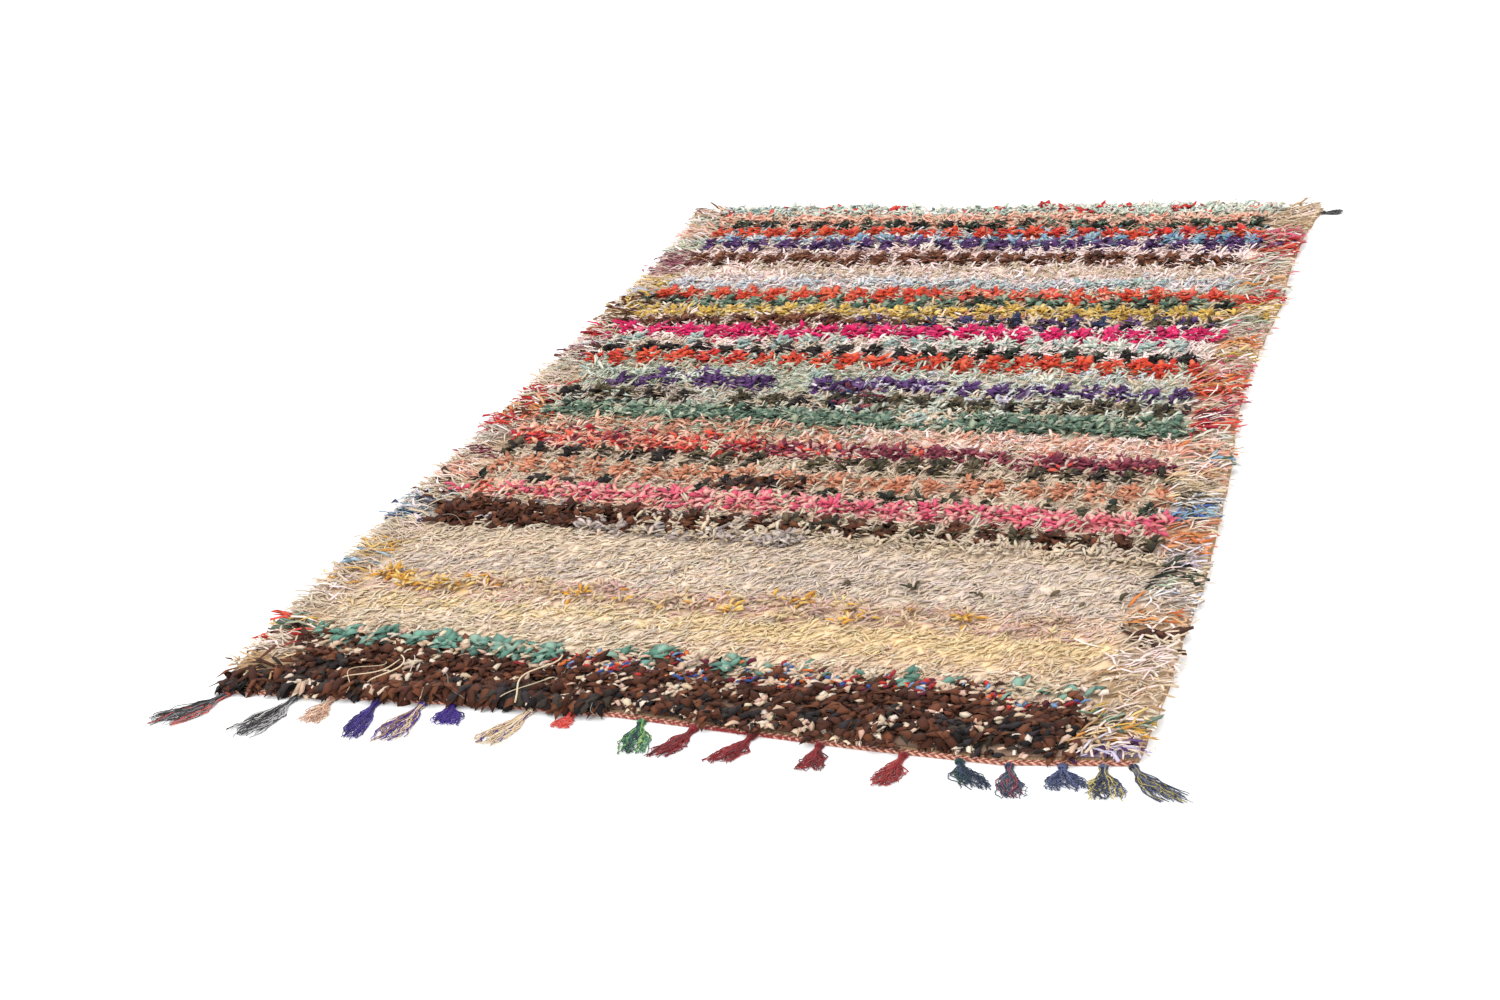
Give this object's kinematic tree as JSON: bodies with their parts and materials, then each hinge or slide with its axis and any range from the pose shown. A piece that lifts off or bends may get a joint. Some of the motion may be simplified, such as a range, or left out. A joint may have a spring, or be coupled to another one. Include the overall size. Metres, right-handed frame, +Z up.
{
  "type": "boucherouite rug",
  "caption": "Long knotted rag rug lying flat: lumpy rag pile in rows, ragged sides, twined end band with knotted tassels.",
  "frame": {"origin": "middle of the whole outline, tassels and locks included, on the floor that the rug lies on", "axes": "+X across the rug to the right, +Y along it from the tasselled near end to the far end, +Z up out of the pile"},
  "size_m": [1.6158, 2.5284, 0.0276],
  "materials": {
    "rag_pile": "matt cut rag strips",
    "twined_band": "matt twined yarn",
    "yarn_soot": "matt spun yarn",
    "yarn_tan": "matt spun yarn",
    "yarn_violet": "matt spun yarn",
    "yarn_scarlet": "matt spun yarn",
    "yarn_bottle": "matt spun yarn",
    "yarn_crimson": "matt spun yarn",
    "yarn_navy": "matt spun yarn",
    "yarn_slate": "matt spun yarn"
  },
  "bodies": {
    "root": {"pile_rug": "rag_pile", "end_band": "twined_band", "tassel_01": "yarn_soot", "tassel_02": "yarn_soot", "tassel_03": "yarn_tan", "tassel_04": "yarn_violet", "tassel_05": "yarn_tan", "tassel_06": "yarn_violet", "tassel_07": "yarn_tan", "tassel_08": "yarn_scarlet", "tassel_09": "yarn_bottle", "tassel_10": "yarn_crimson", "tassel_11": "yarn_crimson", "tassel_12": "yarn_crimson", "tassel_13": "yarn_crimson", "tassel_14": "yarn_navy", "tassel_15": "yarn_navy", "tassel_16": "yarn_navy", "tassel_17": "yarn_slate", "tassel_18": "yarn_slate", "tassel_far_corner": "yarn_soot"}
  },
  "joints": []
}
